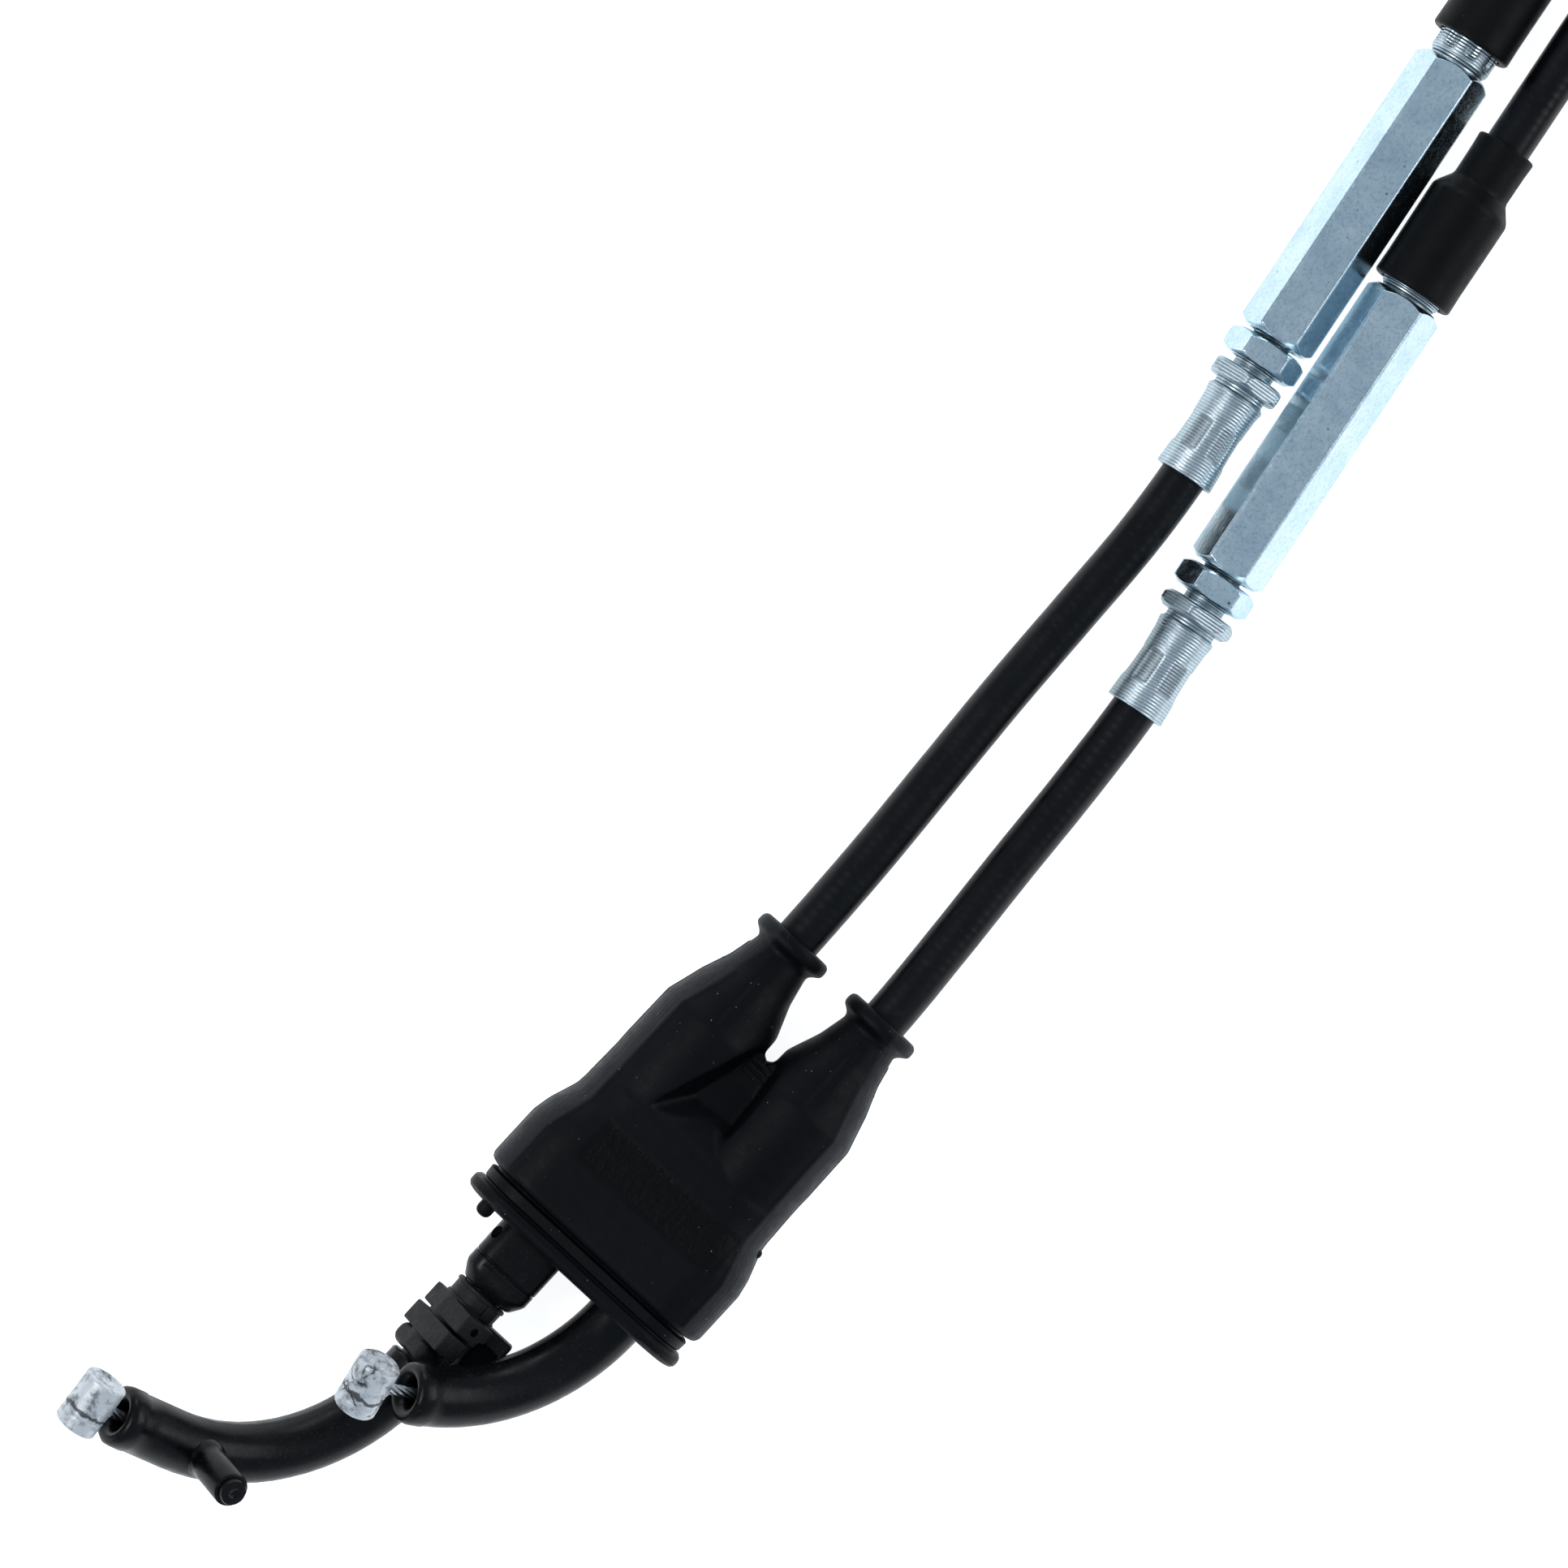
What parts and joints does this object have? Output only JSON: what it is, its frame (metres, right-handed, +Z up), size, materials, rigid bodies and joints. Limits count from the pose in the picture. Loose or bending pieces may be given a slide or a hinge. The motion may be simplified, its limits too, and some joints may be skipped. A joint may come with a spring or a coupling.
{
  "type": "twin throttle cable set",
  "caption": "Twin push-pull throttle cable set: bent guide elbows, shared rubber boot, inline hex adjusters with dust caps, and coiled conduits with threaded ends.",
  "frame": {"origin": "floor point under the middle of the set's bounding box, leaving out the two free conduits and what is on them", "axes": "+X along the boot from its lip to its legs, +Z up, the set lying on the floor"},
  "size_m": [0.3909, 0.1026, 0.0335],
  "materials": {
    "boot_rubber": "moulded dark grey rubber, fine matte grain",
    "cap_rubber": "moulded black rubber, satin",
    "jacket_vinyl": "glossy black vinyl with faint ribs",
    "elbow_nylon": "smooth black glass-filled nylon",
    "holder_nylon": "grainy black moulding",
    "zinc_plate": "blue-white zinc plating over turned steel",
    "cast_zinc": "rough pale die casting",
    "steel_wire": "bare stranded steel",
    "tie_nylon": "black nylon tie"
  },
  "bodies": {
    "cable_set": {"boot": "boot_rubber", "pull_elbow": "elbow_nylon", "pull_holder": "holder_nylon", "pull_socket": "elbow_nylon", "return_elbow": "elbow_nylon", "coil_tie_near": "tie_nylon", "coil_tie_far": "tie_nylon", "pull_boot_ferrule": "zinc_plate", "pull_jacket": "jacket_vinyl", "pull_winding": "steel_wire", "pull_wire": "steel_wire", "pull_lower_ferrule": "zinc_plate", "pull_cord_lead": "jacket_vinyl", "pull_cord_coil": "jacket_vinyl", "pull_cord_tail": "jacket_vinyl", "pull_end_ferrule": "zinc_plate", "pull_end_wire": "steel_wire", "return_boot_ferrule": "zinc_plate", "return_jacket": "jacket_vinyl", "return_winding": "steel_wire", "return_wire": "steel_wire", "return_lower_ferrule": "zinc_plate", "return_cord_lead": "jacket_vinyl", "return_cord_coil": "jacket_vinyl", "return_cord_tail": "jacket_vinyl", "return_end_ferrule": "zinc_plate", "return_end_wire": "steel_wire"},
    "pull_nipple_body": {"pull_nipple": "cast_zinc"},
    "pull_end_nipple_body": {"pull_end_nipple": "cast_zinc"},
    "pull_carrier": {"pull_upper_ferrule": "zinc_plate", "pull_dust_cap": "cap_rubber"},
    "pull_sleeve": {"pull_adjuster_sleeve": "zinc_plate"},
    "pull_nut": {"pull_lock_nut": "zinc_plate"},
    "pull_inner_nut": {"pull_end_nut_inner": "zinc_plate"},
    "pull_outer_nut": {"pull_end_nut_outer": "zinc_plate"},
    "return_nipple_body": {"return_nipple": "cast_zinc"},
    "return_end_nipple_body": {"return_end_nipple": "cast_zinc"},
    "return_carrier": {"return_upper_ferrule": "zinc_plate", "return_dust_cap": "cap_rubber"},
    "return_sleeve": {"return_adjuster_sleeve": "zinc_plate"},
    "return_nut": {"return_lock_nut": "zinc_plate"},
    "return_inner_nut": {"return_end_nut_inner": "zinc_plate"},
    "return_outer_nut": {"return_end_nut_outer": "zinc_plate"}
  },
  "joints": [
    {"name": "pull_draw", "type": "slide", "parent": "cable_set", "child": "pull_nipple_body", "axis": [-0.2079, 0.7913, 0.5749], "range_m": [0, 0.02], "deforming": ["pull_wire"]},
    {"name": "pull_end_draw", "type": "slide", "parent": "cable_set", "child": "pull_end_nipple_body", "axis": [1, 0, 0], "range_m": [0, 0.02], "deforming": ["pull_end_wire"]},
    {"name": "pull_adjuster_travel", "type": "slide", "parent": "cable_set", "child": "pull_carrier", "axis": [0.9874, 0.1582, 0], "range_m": [0, 0.006]},
    {"name": "pull_adjuster_turn", "type": "hinge", "parent": "pull_carrier", "child": "pull_sleeve", "pos_m": [0.0894, 0.00853, 0.0058], "axis": [0.9874, 0.1582, 0], "range_deg": [0, 2160]},
    {"name": "pull_lock_nut_turn", "type": "hinge", "parent": "cable_set", "child": "pull_nut", "pos_m": [0.06896, 0.00525, 0.0058], "axis": [0.9874, 0.1582, 0], "range_deg": [-180, 180]},
    {"name": "pull_inner_nut_turn", "type": "hinge", "parent": "cable_set", "child": "pull_inner_nut", "pos_m": [0.1334, -0.0683, 0.0051], "axis": [1, 0, 0], "range_deg": [-180, 180]},
    {"name": "pull_outer_nut_turn", "type": "hinge", "parent": "cable_set", "child": "pull_outer_nut", "pos_m": [0.1278, -0.0683, 0.0051], "axis": [1, 0, 0], "range_deg": [-180, 180]},
    {"name": "return_draw", "type": "slide", "parent": "cable_set", "child": "return_nipple_body", "axis": [-0.4067, 0.7391, 0.537], "range_m": [0, 0.02], "deforming": ["return_wire"]},
    {"name": "return_end_draw", "type": "slide", "parent": "cable_set", "child": "return_end_nipple_body", "axis": [1, 0, 0], "range_m": [0, 0.02], "deforming": ["return_end_wire"]},
    {"name": "return_adjuster_travel", "type": "slide", "parent": "cable_set", "child": "return_carrier", "axis": [0.9874, 0.1582, 0], "range_m": [0, 0.006]},
    {"name": "return_adjuster_turn", "type": "hinge", "parent": "return_carrier", "child": "return_sleeve", "pos_m": [0.0621, -0.00777, 0.0058], "axis": [0.9874, 0.1582, 0], "range_deg": [0, 2160]},
    {"name": "return_lock_nut_turn", "type": "hinge", "parent": "cable_set", "child": "return_nut", "pos_m": [0.04166, -0.01105, 0.0058], "axis": [0.9874, 0.1582, 0], "range_deg": [-180, 180]},
    {"name": "return_inner_nut_turn", "type": "hinge", "parent": "cable_set", "child": "return_inner_nut", "pos_m": [0.1114, -0.056, 0.0051], "axis": [1, 0, 0], "range_deg": [-180, 180]},
    {"name": "return_outer_nut_turn", "type": "hinge", "parent": "cable_set", "child": "return_outer_nut", "pos_m": [0.1058, -0.056, 0.0051], "axis": [1, 0, 0], "range_deg": [-180, 180]}
  ],
  "couplings": [
    {"joint": "pull_end_draw", "follows": "pull_draw", "ratio": 1},
    {"joint": "pull_adjuster_travel", "follows": "pull_adjuster_turn", "m_per_rad": 0.00015915},
    {"joint": "return_end_draw", "follows": "return_draw", "ratio": 1},
    {"joint": "return_adjuster_travel", "follows": "return_adjuster_turn", "m_per_rad": 0.00015915}
  ]
}
